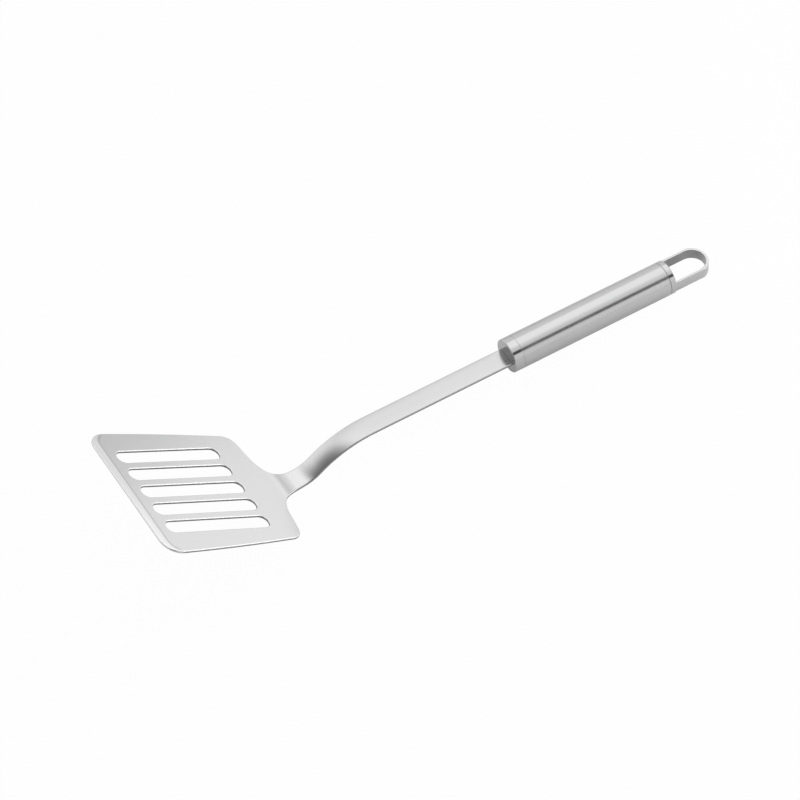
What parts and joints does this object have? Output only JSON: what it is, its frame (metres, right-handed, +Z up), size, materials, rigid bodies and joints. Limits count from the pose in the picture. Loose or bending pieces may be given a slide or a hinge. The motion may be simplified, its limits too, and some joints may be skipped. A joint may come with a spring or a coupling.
{
  "type": "kitchen turner",
  "caption": "All-steel kitchen turner: a slotted flat blade on a cranked flat stem, with a round hollow handle and a hanging loop, for lifting and turning food.",
  "frame": {"origin": "on the table, under the middle of the turner's length, as it lies on its stem's bend and its handle's end", "axes": "+X along the turner from blade to hanging loop, +Y across the blade, +Z up"},
  "size_m": [0.365, 0.0938, 0.0596],
  "materials": {
    "sheet_steel": "satin, fine brushing along the stem and across the blade",
    "tube_steel": "satin, fine brushing around the tube",
    "turned_steel": "turned and polished",
    "weld_steel": "as welded"
  },
  "bodies": {
    "root": {"blade_and_stem": "sheet_steel", "front_ferrule": "turned_steel", "handle_tube": "tube_steel", "hanging_loop": "turned_steel", "upper_tang_weld": "weld_steel", "lower_tang_weld": "weld_steel"}
  },
  "joints": []
}
